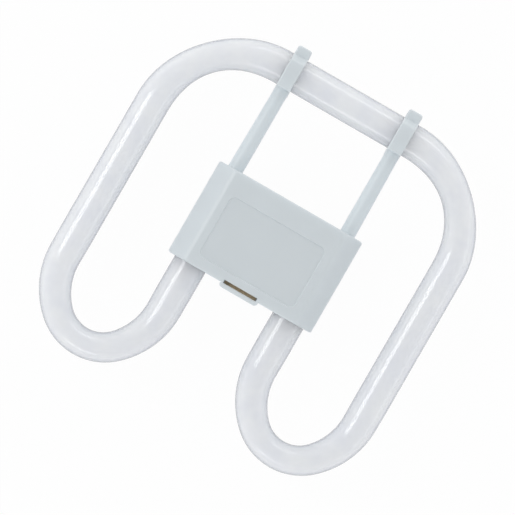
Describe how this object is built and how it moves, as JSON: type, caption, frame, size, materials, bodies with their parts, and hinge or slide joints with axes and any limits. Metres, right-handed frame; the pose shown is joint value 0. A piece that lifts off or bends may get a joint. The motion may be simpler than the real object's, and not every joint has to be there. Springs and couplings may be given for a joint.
{
  "type": "square compact fluorescent lamp",
  "caption": "Square compact fluorescent lamp: a bent glass tube round a moulded housing, with arms that clip over its cross run and a pin cap at the back.",
  "frame": {"origin": "centre of the cap's rim at the back, midway between the pins", "axes": "+Z out of the lamp's front, +Y towards the cross run that the arms hold, +X to the right seen from the front"},
  "size_m": [0.1378, 0.1399, 0.0275],
  "materials": {
    "phosphor_coated_glass": "glossy clear glass over a white phosphor coat",
    "moulded_housing": "satin moulded plastic",
    "plated_pin": "bright nickel plate",
    "silicone": "cured silicone",
    "phenolic_board": "pressed phenolic paper",
    "clear_glass": "clear glass",
    "epoxy_dip": "dipped coating",
    "tinned_wire": "tinned copper",
    "sleeving": "coated glass fibre sleeving"
  },
  "bodies": {
    "root": {"discharge_tube": "phosphor_coated_glass", "front_cover": "moulded_housing", "rear_shell": "moulded_housing", "left_pin": "plated_pin", "right_pin": "plated_pin", "left_glass_bed": "silicone", "right_glass_bed": "silicone", "starter_board": "phenolic_board", "starter_bulb": "clear_glass", "suppressor_capacitor": "epoxy_dip", "left_pin_lead": "tinned_wire", "right_pin_lead": "tinned_wire", "left_starter_lead": "tinned_wire", "right_starter_lead": "tinned_wire", "left_pin_lead_sleeve": "sleeving", "right_pin_lead_sleeve": "sleeving", "left_starter_lead_sleeve": "sleeving", "right_starter_lead_sleeve": "sleeving", "bulb_wire_left": "tinned_wire", "bulb_wire_right": "tinned_wire", "capacitor_wire_upper": "tinned_wire", "capacitor_wire_lower": "tinned_wire"}
  },
  "joints": []
}
